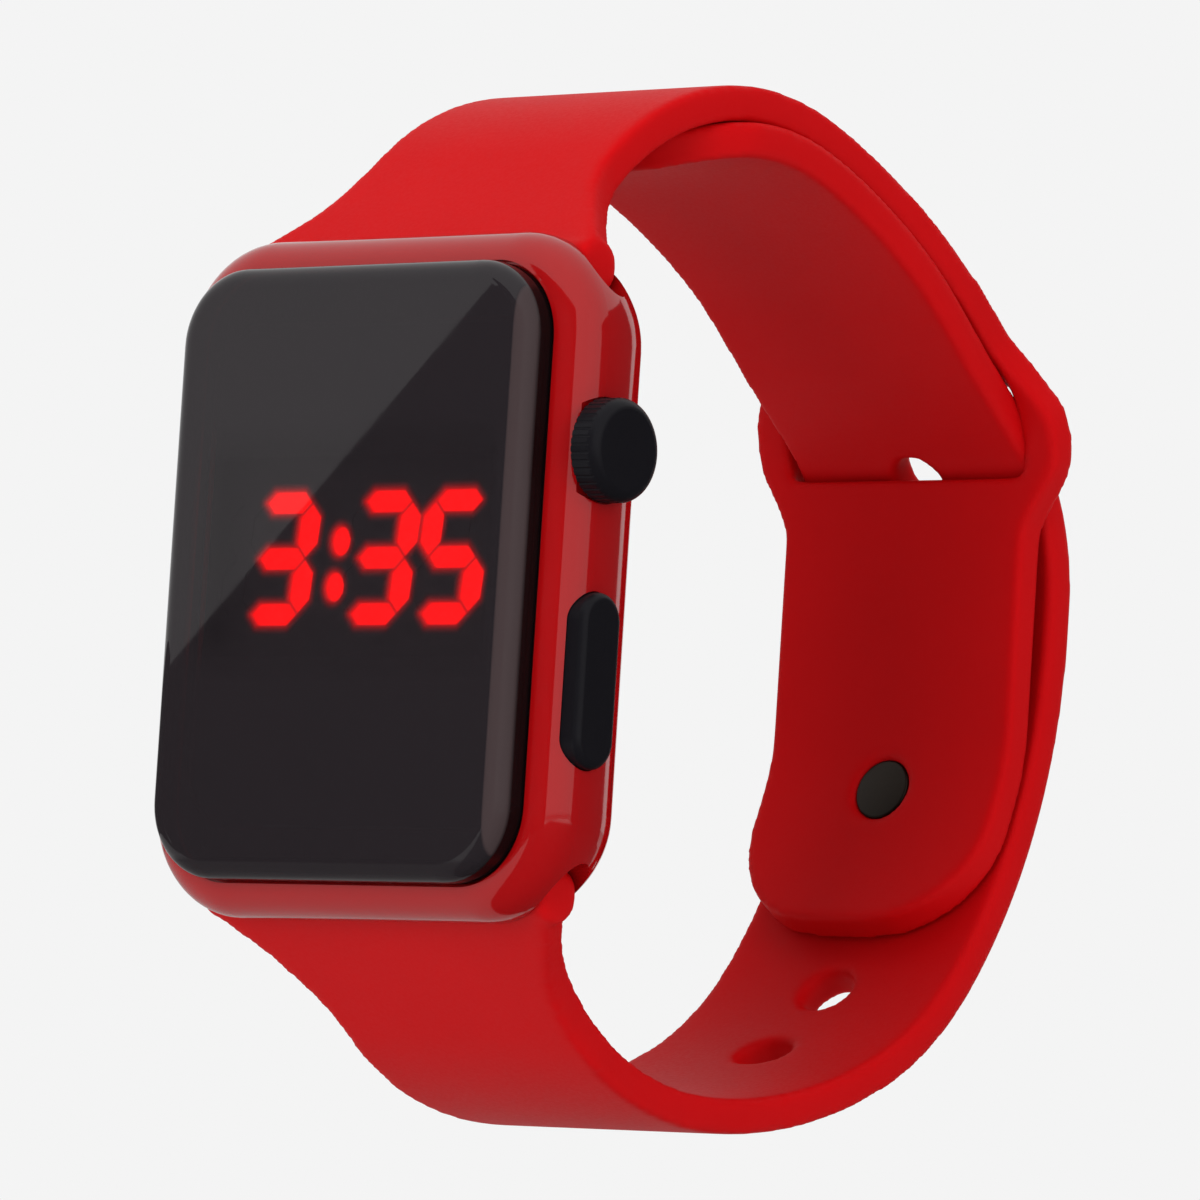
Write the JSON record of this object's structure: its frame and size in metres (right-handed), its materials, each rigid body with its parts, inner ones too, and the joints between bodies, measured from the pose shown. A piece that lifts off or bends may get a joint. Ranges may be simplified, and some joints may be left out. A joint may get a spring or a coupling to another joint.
{
  "type": "led watch",
  "caption": "Square digital wristwatch with red bar digits, a round crown and a long side button, on a silicone strap closed by a stud and a slot.",
  "frame": {"origin": "centre of the case back's flat outer face", "axes": "+X to 3 o'clock and the buttons, +Z to 12 o'clock, the face looks along -Y and the wrist side is +Y"},
  "size_m": [0.0359, 0.0615, 0.0663],
  "materials": {
    "red_case": "glossy moulded plastic",
    "red_silicone": "satin silicone rubber",
    "tinted_lens": "polished, dark tint",
    "black_plastic": "satin black",
    "white_plastic": "matt white",
    "led_red": "lit red light guide",
    "led_dark": "unlit red light guide",
    "board_green": "solder mask",
    "resin_black": "cured resin",
    "steel": "brushed",
    "spring_metal": "bright spring metal",
    "dark_metal": "dark plated",
    "seal_rubber": "black rubber",
    "tape_black": "adhesive tape"
  },
  "bodies": {
    "watch": {"case_body": "red_case", "display_lens": "tinted_lens", "lens_tape": "tape_black", "dial_mask": "black_plastic", "led_reflector": "white_plastic", "lit_segments": "led_red", "unlit_segments": "led_dark", "led_chips": "led_red", "circuit_board": "board_green", "controller_blob": "resin_black", "crystal_can": "steel", "module_frame": "white_plastic", "coin_cell": "steel", "battery_clip": "spring_metal", "battery_spring": "spring_metal", "crown_contact": "spring_metal", "pill_contact": "spring_metal", "case_back": "steel", "back_gasket": "seal_rubber", "case_screws": "steel", "pin_strap": "red_silicone", "hole_strap": "red_silicone", "upper_lug_rod": "steel", "lower_lug_rod": "steel", "stud_base": "dark_metal", "stud_head": "dark_metal"},
    "crown_slider": {"crown_clip": "steel", "crown_seal": "seal_rubber"},
    "crown_knob": {"crown": "black_plastic"},
    "pill": {"pill_button": "black_plastic", "pill_clips": "steel", "pill_seals": "seal_rubber"},
    "strap_end": {"hole_strap_end": "red_silicone", "hole_strap_tail": "red_silicone"}
  },
  "joints": [
    {"name": "crown_press", "type": "slide", "parent": "watch", "child": "crown_slider", "axis": [-1, 0, 0], "range_m": [0, 0.0004], "stiffness_N_per_m": 2000, "deforming": ["crown_contact"]},
    {"name": "crown_spin", "type": "hinge", "parent": "crown_slider", "child": "crown_knob", "pos_m": [0.0175, -0.0059, 0.00767], "axis": [1, 0, 0], "continuous": true},
    {"name": "pill_press", "type": "slide", "parent": "watch", "child": "pill", "axis": [-1, 0, 0], "range_m": [0, 0.0004], "stiffness_N_per_m": 2000, "deforming": ["pill_contact"]},
    {"name": "hole_strap_flex", "type": "hinge", "parent": "watch", "child": "strap_end", "pos_m": [0, 0.02731, -0.03145], "axis": [-1, 0, 0], "range_deg": [0, 75], "deforming": ["hole_strap_tail"]}
  ]
}
